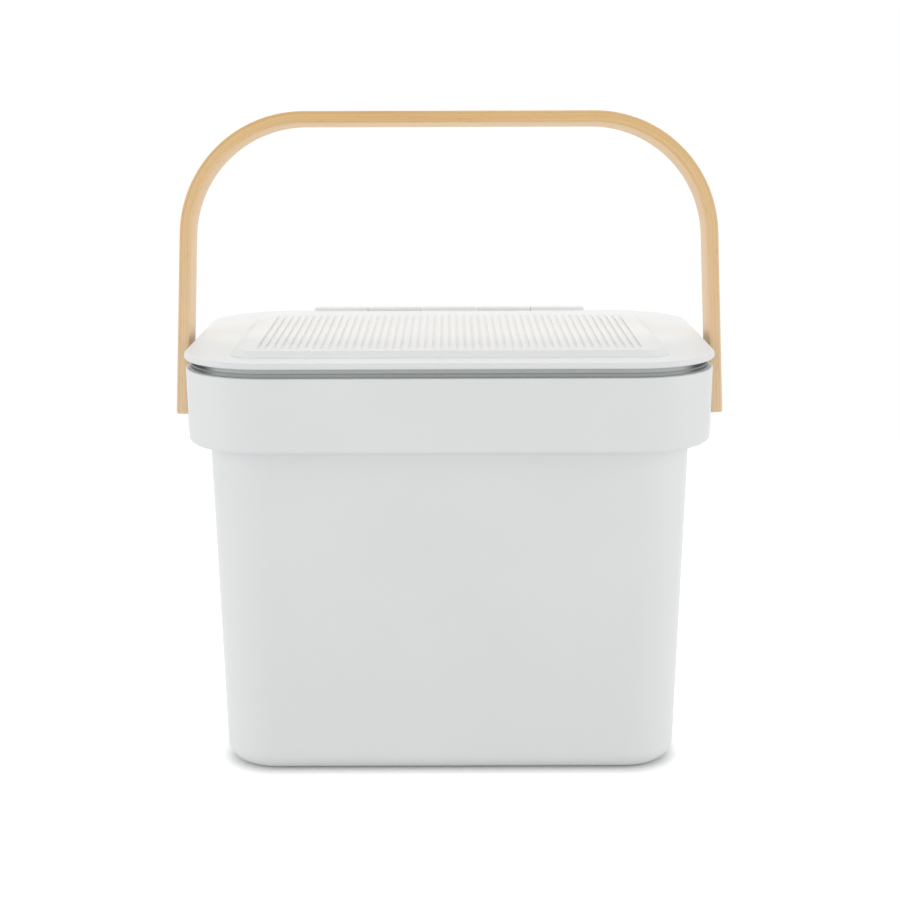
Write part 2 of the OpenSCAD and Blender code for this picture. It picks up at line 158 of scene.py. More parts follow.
class Graph:
    """The node graph of one material or of the world."""

    def __init__(self, tree: bpy.types.NodeTree) -> None:
        """Starts an empty graph.

        Args:
            tree: The node tree, which is cleared.
        """
        self.tree = tree
        tree.nodes.clear()

    def add(self, kind: str, settings: dict | None = None, inputs: dict | None = None,
            output: int | str = 0) -> Signal:
        """Adds any node.

        Args:
            kind: The node's type.
            settings: Its own settings, set first.
            inputs: Values or links by socket name or number.
            output: Name or number of the socket to hand back.

        Returns:
            The chosen output, or an empty signal where the node has no output.
        """
        node = self.tree.nodes.new(kind)
        for key, value in (settings or {}).items():
            setattr(node, key, value)
        for key, value in (inputs or {}).items():
            if isinstance(value, Signal):
                self.tree.links.new(value.socket, node.inputs[key])
            else:
                node.inputs[key].default_value = value
        return Signal(self, node.outputs[output] if len(node.outputs) else None)

    def mix(self, factor: Value, a: Value, b: Value) -> Signal:
        """Mixes two colours.

        Args:
            factor: 0 gives a and 1 gives b.
            a: First colour.
            b: Second colour.

        Returns:
            The mixed colour.
        """
        # the node has a set of sockets for each kind of data, and these are the numbers for colours
        factor_in, a_in, b_in, result = 0, 6, 7, 2
        return self.add("ShaderNodeMix", {"data_type": "RGBA"},
                        {factor_in: factor, a_in: a, b_in: b}, result)

    def scale(self, vector: Signal, by: Sequence[float]) -> Signal:
        """Multiplies a vector by three numbers.

        Args:
            vector: The vector.
            by: One number for each axis.

        Returns:
            The scaled vector.
        """
        return self.add("ShaderNodeVectorMath", {"operation": "MULTIPLY"}, {0: vector, 1: by})

    def axis(self, vector: Signal, number: int) -> Signal:
        """Takes one part of a vector.

        Args:
            vector: The vector.
            number: 0 for X, 1 for Y and 2 for Z.

        Returns:
            That part.
        """
        return self.add("ShaderNodeSeparateXYZ", None, {0: vector}, number)

    def place(self) -> Signal:
        """Adds the position on the piece, which stays with the piece when it moves.

        Returns:
            The position in metres.
        """
        return self.add("ShaderNodeTexCoord", output="Object")

    def noise(self, vector: Signal, size: float, detail: float = 2.0, rough: float = 0.5) -> Signal:
        """Adds a noise texture.

        Args:
            vector: Where it is read.
            size: Size of one feature in metres.
            detail: Octaves.
            rough: Weight of the finer octaves.

        Returns:
            The noise, from 0 to 1.
        """
        return self.add("ShaderNodeTexNoise", None,
                        {"Vector": vector, "Scale": 1 / size, "Detail": detail, "Roughness": rough})

    def wave(self, along: Signal, pitch: float, shift: Signal) -> Signal:
        """Rounded ridges across an axis.

        Args:
            along: Place along that axis in metres.
            pitch: Metres from ridge to ridge.
            shift: Turns by which the ridges wander.

        Returns:
            0 between ridges and 1 on them.
        """
        turns = (along / pitch + shift) * math.tau
        return turns.math("SINE", turns) * 0.5 + 0.5

    def painted_corner_shade(self, here: Signal) -> Signal:
        """Mask of painted shade: the upright walls at the outer halves of the four corners, where
        the gap ends near black.

        Args:
            here: Position on the piece.

        Returns:
            1 on those walls and 0 elsewhere.
        """
        facing = self.add("ShaderNodeTexCoord", output="Normal")
        upright = 1 - abs(self.axis(facing, 2)).ramp(*UPRIGHT)
        along_x, along_y = (abs(self.axis(here, k)).ramp(*run) for k, run in enumerate(PAINTED_SHADE_RUNS))
        return along_x * along_y * upright

    def bump(self, height: Signal, distance: float, normal: Signal | None = None) -> Signal:
        """Adds a Bump node.

        Args:
            height: Height from 0 to 1.
            distance: Metres that a height of 1 stands for.
            normal: A bump underneath it.

        Returns:
            The bent normal.
        """
        links: dict = {"Height": height, "Distance": distance}
        if normal is not None:
            links["Normal"] = normal
        return self.add("ShaderNodeBump", None, links)

    def surface(self, sockets: dict) -> None:
        """Ends the graph in one Principled shader.

        Args:
            sockets: Values or links by socket name.
        """
        shader = self.add("ShaderNodeBsdfPrincipled", None, sockets)
        self.add("ShaderNodeOutputMaterial", None, {"Surface": shader})


def new_graph(name: str) -> tuple[bpy.types.Material, Graph]:
    """Makes a material with an empty graph.

    Args:
        name: The material's name.

    Returns:
        The material and its graph.
    """
    material = bpy.data.materials.new(name)
    material.use_nodes = True
    return material, Graph(material.node_tree)


# ---------------------------------------------------------------- finishes


@dataclass(frozen=True)
class MouldedPlastic:
    """Injection-moulded plastic: a fine spark texture, slight sink and flow tones, satin gloss, and
    painted shade on its corner walls where a corner colour is given.
    """

    name: str
    colour: str
    shade: str
    roughness: float = 0.42
    spread: float = 0.10
    flow: float = 60 * MM
    spark: float = 0.45 * MM
    spark_depth: float = 0.012 * MM
    sink: float = 24 * MM
    sink_depth: float = 0.10 * MM
    # colour of the painted shade on the upright corner walls; empty for none
    corners: str = ""

    def material(self) -> bpy.types.Material:
        """Builds the finish.

        Returns:
            The new material.
        """
        material, g = new_graph(self.name)
        here = g.place()
        flow = g.noise(here, self.flow)
        spark = g.noise(here, self.spark, 3.0, 0.6)
        sink = g.noise(here, self.sink, 1.0)
        colour = g.mix((flow - 0.3) * 0.9, tone(self.colour), tone(self.shade))
        # painted shade: the upright corner walls are darkened towards this colour
        if self.corners:
            colour = g.mix(g.painted_corner_shade(here), colour, tone(self.corners))
        ripple = g.bump(sink, self.sink_depth)
        g.surface({
            "Base Color": colour,
            "Roughness": self.roughness - self.spread / 2 + self.spread * spark,
            "IOR": 1.49,
            "Normal": g.bump(spark, self.spark_depth, ripple),
        })
        return material


@dataclass(frozen=True)
class SealRubber:
    """Soft moulded rubber with a powdery surface, and near-black painted shade on its upright corner
    walls.
    """

    name: str = "seal_grey"
    colour: str = "#c8cbca"
    shade: str = "#c0c3c2"
    # near-black painted shade on the upright walls at the outer halves of the corners
    corners: str = "#464848"
    dust: float = 0.25 * MM
    dust_depth: float = 0.02 * MM
    cloud: float = 18 * MM

    def material(self) -> bpy.types.Material:
        """Builds the finish.

        Returns:
            The new material.
        """
        material, g = new_graph(self.name)
        here = g.place()
        dust = g.noise(here, self.dust, 4.0, 0.65)
        cloud = g.noise(here, self.cloud)
        grey = g.mix(cloud, tone(self.colour), tone(self.shade))
        g.surface({
            # painted shade darkens the seal's upright corner walls
            "Base Color": g.mix(g.painted_corner_shade(here), grey, tone(self.corners)),
            "Roughness": 0.66 + 0.16 * dust,
            "Normal": g.bump(dust, self.dust_depth),
        })
        return material


@dataclass(frozen=True)
class CharcoalFelt:
    """Needled felt loaded with charcoal: crossing fibres, dark grains and lint."""

    name: str = "charcoal_felt"
    slot: str = "charcoal_felt"
    colour: str = "#3a3c3c"
    dark: str = "#1c1d1d"
    lint: str = "#6c6f6e"
    fibre: float = 0.5 * MM
    fibre_depth: float = 0.25 * MM
    grain: float = 0.9 * MM

    def material(self) -> bpy.types.Material:
        """Builds the finish.

        Returns:
            The new material.
        """
        material, g = new_graph(self.name)
        here = g.place()
        along_x, along_y, upward = (g.noise(g.scale(here, by), self.fibre, 3.0, 0.6)
                                    for by in ((0.12, 1.0, 0.6), (1.0, 0.12, 0.6), (0.5, 0.6, 0.2)))
        web = along_x * along_y + upward * 0.5
        grains = g.noise(here, self.grain).ramp(0.55, 0.68)
        base = g.mix(web.ramp(0.30, 0.75), tone(self.dark), tone(self.colour))
        base = g.mix(web.ramp(0.62, 0.82) * 0.7, base, tone(self.lint))
        g.surface({
            "Base Color": g.mix(grains * 0.7, base, tone(self.dark)),
            "Roughness": 0.97,
            "Sheen Weight": 0.25,
            "Sheen Roughness": 0.6,
            "Normal": g.bump(web - grains * 0.3, self.fibre_depth),
        })
        return material


@dataclass(frozen=True)
class WovenGauze:
    """White polyester gauze in plain weave, with painted shade in the open corners between the
    threads.
    """

    name: str = "white_gauze"
    slot: str = "white_plastic"
    thread: str = "#fafafa"
    # painted shade seen in the open corners between the threads
    painted_gap_shade: str = "#e8e9e8"
    pitch: float = 0.42 * MM
    depth: float = 0.05 * MM
    sway: float = 4 * MM

    def material(self) -> bpy.types.Material:
        """Builds the finish.

        Returns:
            The new material.
        """
        material, g = new_graph(self.name)
        here = g.place()
        sway = (g.noise(here, self.sway) - 0.5) * 0.6
        warp, weft = (g.wave(g.axis(here, k), self.pitch, sway) for k in (0, 1))
        over = warp.math("MAXIMUM", warp, weft)
        g.surface({
            # the threads over painted shade in the open corners between them
            "Base Color": g.mix(over.ramp(0.25, 0.85), tone(self.painted_gap_shade), tone(self.thread)),
            "Roughness": 0.85,
            "Normal": g.bump(over, self.depth),
        })
        return material


@dataclass(frozen=True)
class BentTimber:
    """Steam-bent, laminated pale timber under thin clear lacquer.

    The grain is drawn on the strap as if it were unbent: the mesh carries that position.
    """

    name: str = "bent_timber"
    slot: str = "bentwood"
    pale: str = "#f3d29b"
    warm: str = "#e2b474"
    dark: str = "#bf8d50"
    foot: str = "#f2dabd"
    foot_run: float = 170 * MM
    ply: float = 1.45 * MM
    ply_seed: float = 7.3
    glue: tuple[float, float] = (0.02 * MM, 0.12 * MM)
    skin: tuple[float, float] = (0.5 * MM, 0.8 * MM)
    wander: float = 9 * MM
    band: float = 1.9 * MM
    fibre: float = 0.32 * MM
    fleck: float = 0.55 * MM
    depth: float = 0.05 * MM
    thickness: float = 5.8 * MM
    length: float = 500 * MM
    roughness: float = 0.46

    def material(self) -> bpy.types.Material:
        """Builds the finish.

        Returns:
            The new material.
        """
        material, g = new_graph(self.name)
        grain = g.add("ShaderNodeAttribute", {"attribute_name": "grain"}, output="Vector")
        along, depth = g.axis(grain, 0), g.axis(grain, 2)
        # bands of earlywood and latewood, wandering slowly along the strap
        wander = g.noise(g.scale(grain, (0.035, 1.0, 1.0)), self.wander)
        bands = g.noise(g.scale(grain, (0.012, 1.0, 1.0)), self.band, 3.0, 0.55)
        fibre = g.noise(g.scale(grain, (0.02, 1.0, 1.0)), self.fibre, 4.0, 0.62)
        flecks = g.noise(g.scale(grain, (0.09, 1.0, 1.0)), self.fleck, 1.0).ramp(0.66, 0.74)
        # each ply has its own tone, with a thin glue line between plies
        ply_at = depth / self.ply
        layer = g.add("ShaderNodeTexWhiteNoise", {"noise_dimensions": "1D"},
                      {"W": ply_at.floor() + self.ply_seed})
        edge = abs(ply_at - (ply_at + 0.5).floor()) * self.ply
        outer, inner = self.skin
        inside = depth.ramp(outer, inner) * (1 - depth.ramp(self.thickness - inner,
                                                            self.thickness - outer))
        glue = (1 - edge.ramp(*self.glue)) * inside
        # the strap pales towards its two feet
        to_foot = self.length / 2 - abs(along - self.length / 2)
        stains = (
            (wander.ramp(0.35, 0.8) * 0.4, self.warm),
            (layer * 0.22, self.warm),
            ((1 - to_foot.ramp(0.0, self.foot_run)) * 0.5, self.foot),
            (fibre.ramp(0.55, 0.8) * 0.22, self.dark),
            (flecks * 0.30, self.dark),
            (glue * 0.38, self.dark),
        )
        tint = g.mix(bands.ramp(0.30, 0.72), tone(self.pale), tone(self.warm))
        for amount, stain in stains:
            tint = g.mix(amount, tint, tone(stain))
        height = fibre * 0.6 + bands * 0.4 - flecks * 0.5 - glue * 0.6
        g.surface({
            "Base Color": tint,
            "Roughness": self.roughness - 0.06 + 0.14 * fibre,
            "Coat Weight": 0.18,
            "Coat Roughness": 0.25,
            "Normal": g.bump(height, self.depth),
        })
        return material


class Turning(Enum):
    """How a metal piece was worked."""

    LATHE = "lathe"
    DRAWN = "drawn"
    STAMPED = "stamped"


@dataclass(frozen=True)
class BareMetal:
    """Bare metal with fine tool marks round the X axis, along it, or tumbled smooth."""

    name: str
    colour: str
    turning: Turning
    roughness: float
    stain: str = "#6f6f6c"
    mark: float = 0.16 * MM
    mark_depth: float = 0.008 * MM
    smear: float = 3 * MM

    def material(self) -> bpy.types.Material:
        """Builds the finish.

        Returns:
            The new material.
        """
        material, g = new_graph(self.name)
        here = g.place()
        stretch = {Turning.LATHE: (1.0, 0.06, 0.06), Turning.DRAWN: (0.02, 1.0, 1.0),
                   Turning.STAMPED: (1.0, 1.0, 1.0)}[self.turning]
        marks = g.noise(g.scale(here, stretch), self.mark, 3.0, 0.6)
        smear = g.noise(here, self.smear, 3.0)
        g.surface({
            "Base Color": g.mix(smear.ramp(0.35, 0.8) * 0.25, tone(self.colour), tone(self.stain)),
            "Metallic": 1.0,
            "Roughness": self.roughness + 0.14 * marks + 0.10 * smear,
            "Normal": g.bump(marks, self.mark_depth),
        })
        return material


WHITE = MouldedPlastic("satin_white", "#edefef", "#e6e9e9")
COVER_WHITE = MouldedPlastic("cover_white", "#eff1f1", "#e9ebeb", roughness=0.48)
# the bucket's flange carries painted shade on its upright corner walls, where the gap ends near
# black
BUCKET_GREY = MouldedPlastic("bucket_grey", "#a4a9a8", "#9ca1a0", roughness=0.5, corners="#4c4e4e")
SPACER_WHITE = MouldedPlastic("spacer_white", "#dfe0dd", "#d3d5d2", roughness=0.36, spark=0.2 * MM)
STEEL = BareMetal("turned_steel", "#c9cbcc", Turning.LATHE, 0.24)
DRAWN_STEEL = BareMetal("drawn_steel", "#c4c6c8", Turning.DRAWN, 0.22)
STAMPED_STEEL = BareMetal("stamped_steel", "#bcbfc1", Turning.STAMPED, 0.34)
BRASS = BareMetal("bush_brass", "#c9a65a", Turning.LATHE, 0.26)

Finish = Union[MouldedPlastic, SealRubber, CharcoalFelt, WovenGauze, BentTimber, BareMetal]


class Dresser:
    """Gives finishes to CAD nodes and new pieces, and makes each material once."""

    def __init__(self) -> None:
        """Starts with no materials."""
        self.made: dict[str, bpy.types.Material] = {}

    def paint(self, piece: bpy.types.Object, finish: Finish) -> None:
        """Puts a finish on a piece.

        Args:
            piece: A mesh object.
            finish: What it gets.
        """
        if finish.name not in self.made:
            self.made[finish.name] = finish.material()
        piece.data.materials.clear()
        piece.data.materials.append(self.made[finish.name])
        for polygon in piece.data.polygons:
            polygon.material_index = 0

    def node(self, name: str, finish: Finish) -> bpy.types.Object:
        """Puts a finish on a carried-over CAD node.

        Args:
            name: The node.
            finish: What it gets.

        Returns:
            The node's object.
        """
        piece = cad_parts[name]
        self.paint(piece, finish)
        log.info("dressed %s with %s", name, finish.name)
        return piece


# ---------------------------------------------------------------- mesh helpers


def mesh_piece(name: str, points: Iterable[Vector], faces: Iterable[Sequence[int]],
               crease: float = CREASE) -> bpy.types.Object:
    """Makes a smooth-shaded mesh object.

    Args:
        name: The object's name.
        points: Its vertices in metres.
        faces: Its faces as vertex numbers.
        crease: Edges sharper than this many degrees stay sharp.

    Returns:
        The new object, linked to the scene.
    """
    mesh = bpy.data.meshes.new(name)
    mesh.from_pydata([tuple(p) for p in points], [], [tuple(f) for f in faces])
    shaped = bmesh.new()
    shaped.from_mesh(mesh)
    bmesh.ops.recalc_face_normals(shaped, faces=shaped.faces)
    shaped.to_mesh(mesh)
    shaped.free()
    mesh.shade_smooth()
    mesh.set_sharp_from_angle(angle=math.radians(crease))
    piece = bpy.data.objects.new(name, mesh)
    bpy.context.scene.collection.objects.link(piece)
    return piece


def bridge(rings: int, around: int) -> list[tuple[int, ...]]:
    """Faces between rings of vertices that follow each other, with a cap on both ends.

    Args:
        rings: Number of rings.
        around: Vertices in each ring.

    Returns:
        The faces.
    """
    faces = []
    for ring in range(0, (rings - 1) * around, around):
        for k in range(around):
            m = (k + 1) % around
            faces.append((ring + k, ring + m, ring + around + m, ring + around + k))
    faces.append(tuple(range(around)))
    faces.append(tuple(range((rings - 1) * around, rings * around)))
    return faces


def grid(columns: int, rows: int, first: int = 0) -> list[tuple[int, ...]]:
    """Faces between points that are numbered row by row.

    Args:
        columns: Faces in a row.
        rows: Rows of faces.
        first: Number of the first point.

    Returns:
        The faces, row by row.
    """
    wide = columns + 1
    corners = [first + j * wide + i for j in range(rows) for i in range(columns)]
    return [(k, k + 1, k + wide + 1, k + wide) for k in corners]


def lathe_x(name: str, profile: Sequence[tuple[float, float]], steps: int) -> bpy.types.Object:
    """Closed solid of revolution about the X axis.

    Args:
        name: The object's name.
        profile: Places along X with their radii.
        steps: Sides of the solid.

    Returns:
        The new object.
    """
    turns = [math.tau * k / steps for k in range(steps)]
    points = [Vector((x, r * math.cos(t), r * math.sin(t))) for x, r in profile for t in turns]
    return mesh_piece(name, points, bridge(len(profile), steps))


def baked(piece: bpy.types.Object) -> None:
    """Applies every modifier of a piece to its mesh.

    Args:
        piece: A mesh object, which keeps its name.
    """
    graph = bpy.context.evaluated_depsgraph_get()
    mesh = bpy.data.meshes.new_from_object(piece.evaluated_get(graph))
    piece.modifiers.clear()
    piece.data = mesh


# ---------------------------------------------------------------- sub-assemblies


@dataclass
class BinShell:
    """The moulded bin, the bucket that lifts out of it and the spacers on its bosses."""

    dresser: Dresser
    finishes: dict[str, Finish] = field(default_factory=lambda: {
        "bin_body": WHITE, "inner_bucket": BUCKET_GREY,
        "spacer_left": SPACER_WHITE, "spacer_right": SPACER_WHITE})

    def build(self) -> None:
        """Dresses the nodes of the bin."""
        for name, finish in self.finishes.items():
            self.dresser.node(name, finish)


@dataclass
class HingeSet:
    """The steel rod that the lid turns on."""

    dresser: Dresser

    def build(self) -> None:
        """Dresses the rod."""
        self.dresser.node("hinge_pin", DRAWN_STEEL)


@dataclass
class CharcoalPad:
    """Felt pad with crowned faces and soft, slightly wavy edges."""

    dresser: Dresser
    columns: int = 96
    rows: int = 64
    edge: float = 2.4 * MM
    crown: float = 0.4 * MM
    wave: float = 0.15 * MM
    wave_runs: tuple[float, float, float, float] = (7.1 * MM, 5.3 * MM, 2.9 * MM, 3.7 * MM)
    wave_start: float = 1.3
    clear: float = 0.15 * MM
    weld: float = 0.01 * MM
    crease: float = 80.0

    def build(self) -> bpy.types.Object:
        """Builds the pad in the space of its CAD solid.

        Returns:
            The pad.
        """
        low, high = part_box("filter_pad")
        middle = (low + high) / 2
        half = (high - low) / 2 - Vector((self.clear,) * 3)
        points, faces = [], []
        for side in (1, -1):
            cells = grid(self.columns, self.rows, len(points))
            # the outermost point of each corner is left out, so the two faces don't fold flat there
            for cell, tip in ((0, 0), (self.columns - 1, 1), (-1, 2), (-self.columns, 3)):
                cells[cell] = cells[cell][:tip] + cells[cell][tip + 1:]
            faces += cells
            points += [middle + self.surface_point(2 * i / self.columns - 1,
                                                   2 * j / self.rows - 1, side, half)
                       for j in range(self.rows + 1) for i in range(self.columns + 1)]
        pad = mesh_piece("charcoal_pad", points, faces, self.crease)
        joined = bmesh.new()
        joined.from_mesh(pad.data)
        loose = [vertex for vertex in joined.verts if not vertex.link_faces]
        bmesh.ops.delete(joined, geom=loose, context="VERTS")
        bmesh.ops.remove_doubles(joined, verts=joined.verts, dist=self.weld)
        bmesh.ops.recalc_face_normals(joined, faces=joined.faces)
        joined.to_mesh(pad.data)
        joined.free()
        finish = CharcoalFelt()
        self.dresser.paint(pad, finish)
        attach(pad, "lid")
        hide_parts("filter_pad")
        log.info("built %s", pad.name)
        return pad

    def surface_point(self, u: float, v: float, side: int, half: Vector) -> Vector:
        """One point of the upper or lower face.

        Args:
            u: From -1 to 1 along X.
            v: From -1 to 1 along Y.
            side: 1 above and -1 below.
            half: Half sizes of the pad.

        Returns:
            The point about the pad's middle.
        """
        # points crowd towards the rim, where the edge rolls over
        x = half.x * math.sin(u * math.pi / 2)
        y = half.y * math.sin(v * math.pi / 2)
        inset = min(half.x - abs(x), half.y - abs(y))
        rise = math.sqrt(max(0.0, 1 - (1 - min(inset / self.edge, 1.0)) ** 2))
        crown = self.crown * (1 - (x / half.x) ** 2) * (1 - (y / half.y) ** 2)
        long_x, long_y, short_x, short_y = self.wave_runs
        waves = (math.sin(x / long_x + self.wave_start) * math.sin(y / long_y)
                 + math.sin(x / short_x + y / short_y))
        ripple = self.wave * rise * 0.5 * waves
        height = (half.z - self.crown - self.wave) * rise + crown * rise + ripple
        return Vector((x, y, side * height))


@dataclass
class VentGauze:
    """White gauze moulded into the cover's slotted face, which keeps flies out of the slots."""

    dresser: Dresser
    below_face: float = 0.32 * MM
    side_drop: float = 0.50 * MM
    end_rise: float = 0.12 * MM
    front_run: float = 18 * MM
    back_run: float = 7 * MM
    thickness: float = 0.16 * MM
    slot_pitch: float = 3.8 * MM
    slot_width: float = 1.5 * MM
    slot_count: int = 49
    slot_length: float = 112 * MM
    slots_forward: float = 10 * MM
    hem: float = 2 * MM
    sag: float = 0.06 * MM
    sag_shape: tuple[tuple[float, float], ...] = (
        (-0.5, 0.0), (-0.25, 0.75), (0.0, 1.0), (0.25, 0.75), (0.5, 0.0))
    rows: int = 32

    def stations(self) -> list[tuple[float, float]]:
        """Places along X, from hem to hem.

        Returns:
            Each place with its share of the sag.
        """
        middles = [(k - (self.slot_count - 1) / 2) * self.slot_pitch for k in range(self.slot_count)]
        inside = [(middle + across * self.slot_width, dip)
                  for middle in middles for across, dip in self.sag_shape]
        reach = inside[-1][0] + self.hem
        return [(-reach, 0.0), *inside, (reach, 0.0)]

    def taper(self, y: float) -> float:
        """How much of its full depth the sheet has at a place along the slots.

        Args:
            y: The place, from the middle of the slots.

        Returns:
            0 at both ends of the slots, rising to 1 over the front and back runs.
        """
        reach = self.slot_length / 2
        return max(0.0, min(1.0, (reach + y) / self.front_run, (reach - y) / self.back_run))

    def build(self) -> bpy.types.Object:
        """Builds the sheet: lower at the sides, raised at the slots' ends, with a sag in every slot.

        Returns:
            The gauze.
        """
        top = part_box("vent_cover")[1].z
        stations = self.stations()
        reach = stations[-1][0]
        slot_reach = self.slot_length / 2
        half = slot_reach + self.hem
        lines = [slot_reach * (2 * j / self.rows - 1) for j in range(self.rows + 1)]
        lines = [-half, *lines, half]
        points = []
        for layer in (0, 1):
            for y in lines:
                for x, dip in stations:
                    full = self.below_face + self.side_drop * (x / reach) ** 2 + dip * self.sag
                    depth = self.end_rise + (full - self.end_rise) * self.taper(y)
                    depth += layer * self.thickness
                    points.append(Vector((x, y - self.slots_forward, top - depth)))
        wide, last, sheet = len(stations), len(lines) - 1, len(stations) * len(lines)
        faces = grid(wide - 1, last) + grid(wide - 1, last, sheet)
        # the edge joins the two layers, along the front, the right, the back and the left
        rim = [*range(wide),
               *(j * wide + wide - 1 for j in range(1, last + 1)),
               *(last * wide + i for i in range(wide - 2, -1, -1)),
               *(j * wide for j in range(last - 1, 0, -1))]
        faces += [(a, b, b + sheet, a + sheet) for a, b in zip(rim, rim[1:] + rim[:1])]
        gauze = mesh_piece("vent_gauze", points, faces)
        finish = WovenGauze()
        self.dresser.paint(gauze, finish)
        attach(gauze, "lid")
        2 * reach
        2 * half
        log.info("built %s", gauze.name)
        return gauze


@dataclass
class LidAssembly:
    """The lid, its seal, the slotted cover with its gauze and the charcoal pad under it."""

    dresser: Dresser

    def build(self) -> None:
        """Dresses the lid's nodes and builds the gauze and the pad."""
        self.dresser.node("lid", WHITE)
        self.dresser.node("vent_cover", COVER_WHITE)
        self.dresser.node("lid_seal", SealRubber())
        VentGauze(self.dresser).build()
        CharcoalPad(self.dresser).build()


@dataclass
class CarryHandle:
    """Bentwood strap with eased edges, bored and recessed for its bushes and screws."""

    dresser: Dresser
    width: float = 23.4 * MM
    thickness: float = 5.8 * MM
    reach: float = 139.5 * MM
    bend: float = 63 * MM
    tilt: float = math.radians(1.8)
    tail: float = 13 * MM
    end_radius: float = 2.5 * MM
    end_ease: float = 0.8 * MM
    outer_face: float = 138.8 * MM
    pivot: float = 180 * MM
    lean: float = math.radians(8)
    ease: float = 1.0 * MM
    bore: float = 3.97 * MM
    flange_seat: float = 6.8 * MM
    flange_depth: float = 0.3 * MM
    head_seat: float = 4.5 * MM
    head_depth: float = 1.62 * MM
    bore_over: float = 4 * MM
    bore_steps: int = 64
    end_steps: int = 8
    leg_steps: int = 26
    bend_steps: int = 40
    bar_steps: int = 24
    corner_steps: int = 4

    def __post_init__(self) -> None:
        """Works out the line of the strap's outer face."""
        self.bend_height = self.reach - self.bend
        rise = self.bend_height + self.bend * math.sin(self.tilt)
        self.leg = rise / math.cos(self.tilt)
        self.bend_x = (self.outer_face - self.leg * math.sin(self.tilt)
                       - self.bend * math.cos(self.tilt))
        self.middle = self.bend - self.thickness / 2
        self.arc_length = self.middle * (math.pi / 2 - self.tilt)
        self.half_length = self.tail + self.leg + self.arc_length + self.bend_x

    def outline(self) -> list[tuple[float, float, float, float]]:
        """Stations along the right half of the strap.

        Returns:
            X, height, angle of the outward normal and distance from the end, for each station.
        """
        foot_x = self.outer_face + self.tail * math.tan(self.tilt)
        length = self.tail / math.cos(self.tilt) + self.leg
        ease = [self.end_radius * (1 - math.cos(math.pi / 2 * k / self.end_steps))
                for k in range(self.end_steps)]
        rest = [self.end_radius + (length - self.end_radius) * k / self.leg_steps
                for k in range(self.leg_steps)]
        stations = [(foot_x - s * math.sin(self.tilt), s * math.cos(self.tilt) - self.tail,
                     self.tilt, s) for s in ease + rest]
        for k in range(self.bend_steps + 1):
            angle = self.tilt + (math.pi / 2 - self.tilt) * k / self.bend_steps
            stations.append((self.bend_x + self.bend * math.cos(angle),
                             self.bend_height + self.bend * math.sin(angle), angle,
                             length + self.middle * (angle - self.tilt)))
        for k in range(1, self.bar_steps + 1):
            x = self.bend_x * (1 - k / self.bar_steps)
            from_end = length + self.arc_length + self.bend_x - x
            stations.append((x, self.reach, math.pi / 2, from_end))
        return stations

    def section(self, from_end: float) -> list[tuple[float, float]]:
        """Section of the strap, with its corners rounded in plan near the end.

        Args:
            from_end: Distance from the strap's end.

        Returns:
            Depth in from the outer face and place across the width, round the section.
        """
        squeeze = self.drawn_in(self.end_ease, from_end)
        half = self.width / 2 - self.drawn_in(self.end_radius, from_end) - squeeze / 2
        top, bottom = squeeze, self.thickness - squeeze
        points = []
        for depth, across, start in ((bottom - self.ease, half - self.ease, 0),
                                     (top + self.ease, half - self.ease, 90),
                                     (top + self.ease, -half + self.ease, 180),
                                     (bottom - self.ease, -half + self.ease, 270)):
            for k in range(self.corner_steps + 1):
                turn = math.radians(start + 90 * k / self.corner_steps)
                points.append((depth + self.ease * math.cos(turn),
                               across + self.ease * math.sin(turn)))
        return points

    @staticmethod
    def drawn_in(radius: float, from_end: float) -> float:
        """How far a rounded end lies inside the full outline.

        Args:
            radius: Radius of the rounding.
            from_end: Distance from the strap's end.

        Returns:
            The radius at the very end, and 0 from one radius on.
        """
        short = max(0.0, radius - from_end)
        return radius - math.sqrt(max(0.0, radius ** 2 - short ** 2))

    def grain_at(self, x: float, z: float, y: float) -> Vector:
        """Where a point of the strap would lie if the strap were unbent.

        Args:
            x: Place along X, from the middle.
            z: Height above the pivots.
            y: Place across the width.

        Returns:
            Distance along the strap, across it, and depth in from the outer face.
        """
        side = 1 if x >= 0 else -1
        x = abs(x)
        dx, dz = x - self.bend_x, z - self.bend_height
        angle = math.atan2(dz, dx)
        start = self.tail + self.leg
        if x <= self.bend_x and z > 0:
            along, depth = start + self.arc_length - dx, self.reach - z
        elif angle > self.tilt:
            along = start + self.middle * (angle - self.tilt)
            depth = self.bend - math.hypot(dx, dz)
        else:
            away = x - self.outer_face
            depth = -(away * math.cos(self.tilt) + z * math.sin(self.tilt))
            along = self.tail - away * math.sin(self.tilt) + z * math.cos(self.tilt)
        return Vector((along if side > 0 else 2 * self.half_length - along, y, depth))

    def strap(self) -> bpy.types.Object:
        """Sweeps the section along both halves of the strap.

        Returns:
            The strap, upright about its pivots, with no bores.
        """
        right = self.outline()
        left = [(-x, z, math.pi - a, s) for x, z, a, s in reversed(right[:-1])]
        points = []
        for x, z, angle, from_end in right + left:
            along_x, along_z = math.cos(angle), math.sin(angle)
            points += [Vector((x - depth * along_x, across, z - depth * along_z))
                       for depth, across in self.section(from_end)]
        around = 4 * (self.corner_steps + 1)
        return mesh_piece("bentwood_strap", points, bridge(len(right + left), around))

    def cutters(self) -> list[bpy.types.Object]:
        """Stepped plugs that cut each bore with its two recesses.

        Returns:
            One plug for each side.
        """
        inner = self.outer_face - self.thickness + self.flange_depth
        outer = self.outer_face - self.head_depth
        far = self.outer_face + self.bore_over
        profile = [(inner - self.bore_over, self.flange_seat), (inner, self.flange_seat),
                   (inner, self.bore), (outer, self.bore),
                   (outer, self.head_seat), (far, self.head_seat)]
        return [lathe_x(f"bore_cut_{side}", [(sign * x, r) for x, r in profile], self.bore_steps)
                for side, sign in (("right", 1), ("left", -1))]

